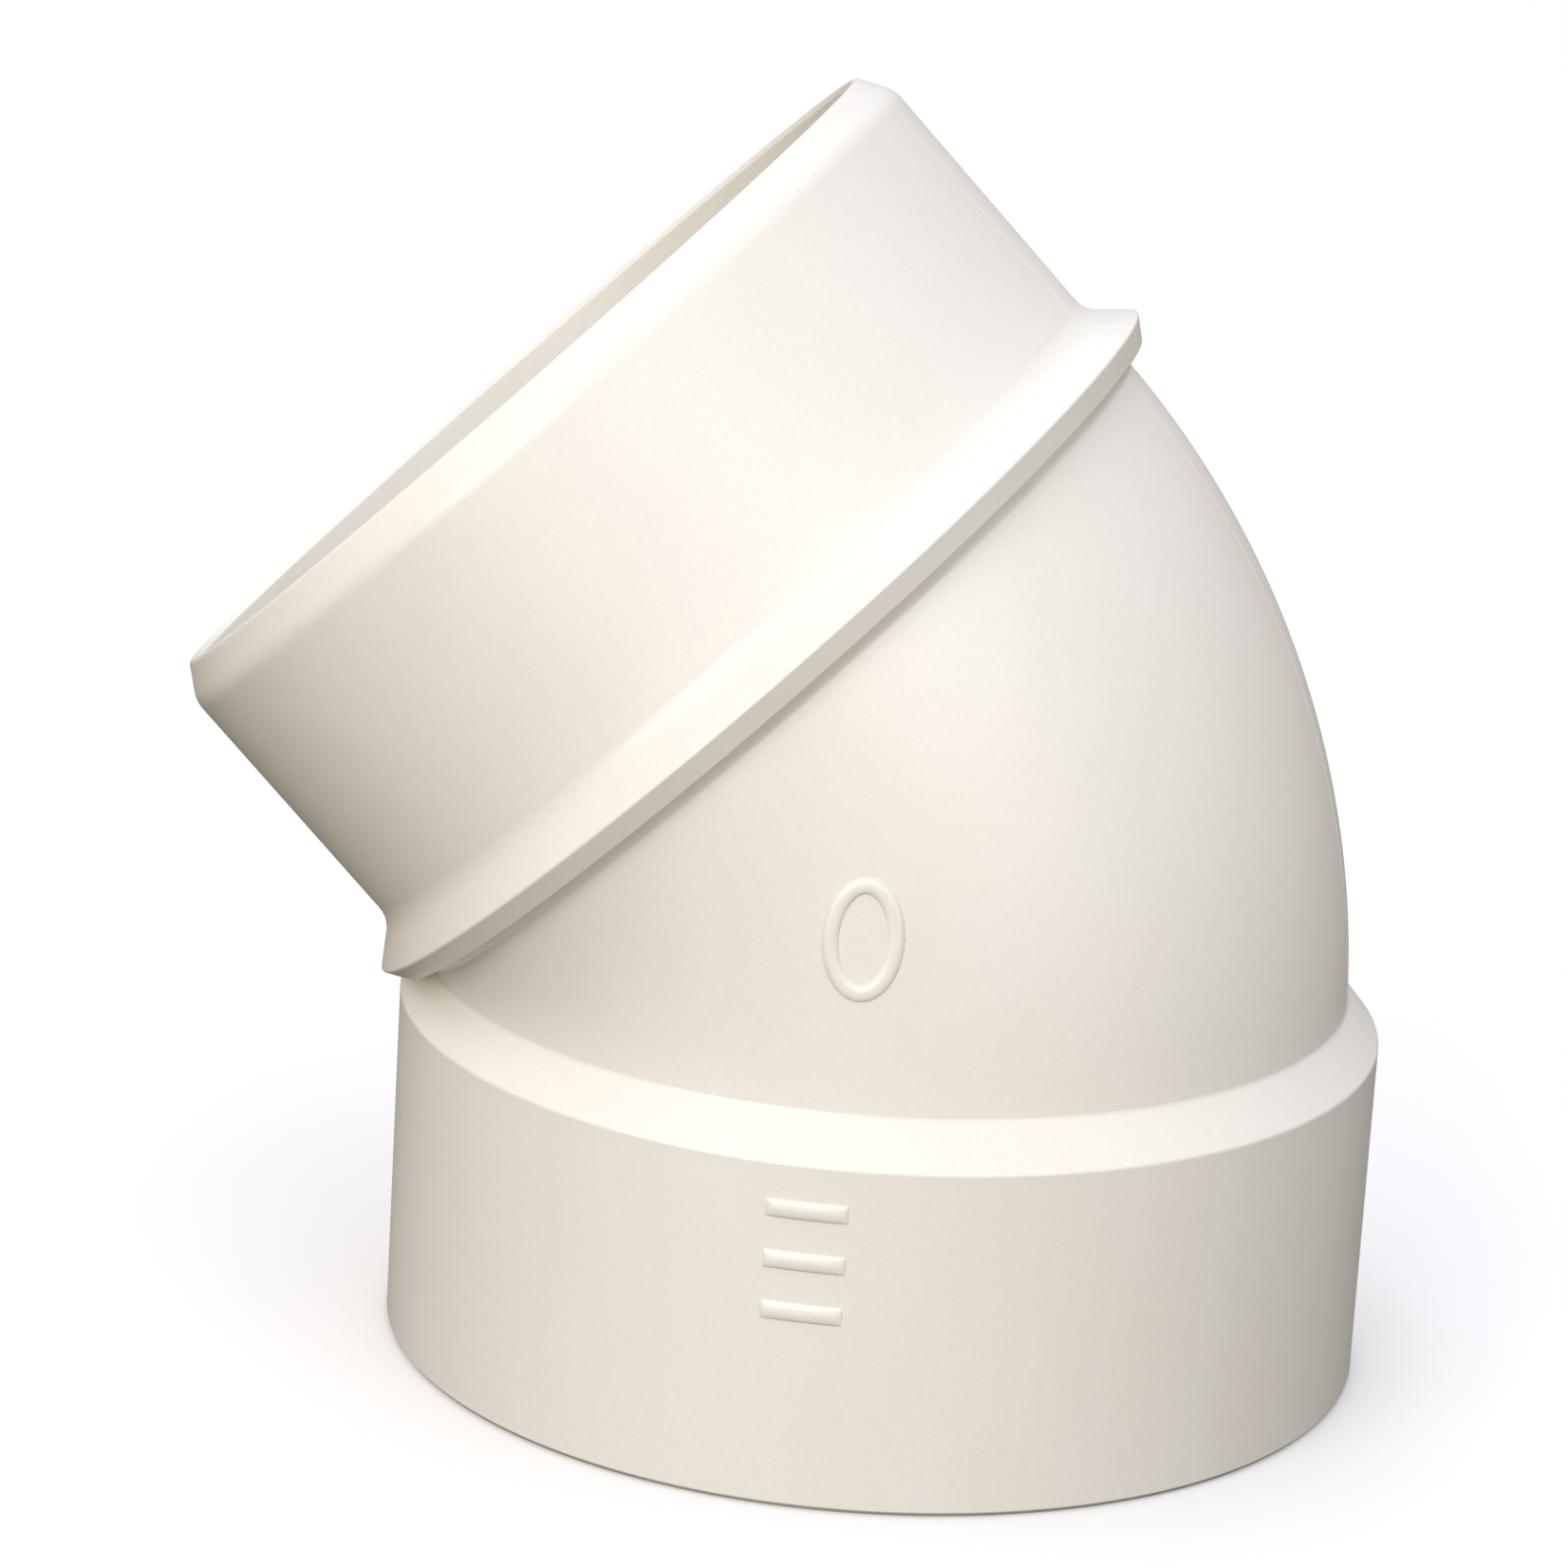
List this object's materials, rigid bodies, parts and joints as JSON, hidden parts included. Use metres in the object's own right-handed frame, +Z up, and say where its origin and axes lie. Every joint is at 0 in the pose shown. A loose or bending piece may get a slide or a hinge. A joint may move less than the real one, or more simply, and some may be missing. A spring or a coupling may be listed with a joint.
{
  "type": "conduit elbow",
  "caption": "Plastic 45 degree conduit elbow with a socket for one conduit, and a spigot with a flared stop collar that enters the next socket.",
  "frame": {"origin": "centre of the socket's mouth, on the plane that the fitting stands on", "axes": "+Z up the socket's axis towards the bend; the spigot's axis lies in the XZ plane and leans 45 degrees from +Z towards -X; -Y is the side with the raised marks"},
  "size_m": [0.1509, 0.124, 0.1588],
  "materials": {
    "moulded_pvc": "smooth off-white injection-moulded rigid PVC, satin to gloss"
  },
  "bodies": {
    "root": {"socket_sleeve": "moulded_pvc", "socket_shoulder": "moulded_pvc", "bend_shell": "moulded_pvc", "stop_collar": "moulded_pvc", "spigot_tube": "moulded_pvc", "socket_bar_1": "moulded_pvc", "socket_bar_2": "moulded_pvc", "socket_bar_3": "moulded_pvc", "bend_oval": "moulded_pvc", "gate_stub": "moulded_pvc"}
  },
  "joints": []
}
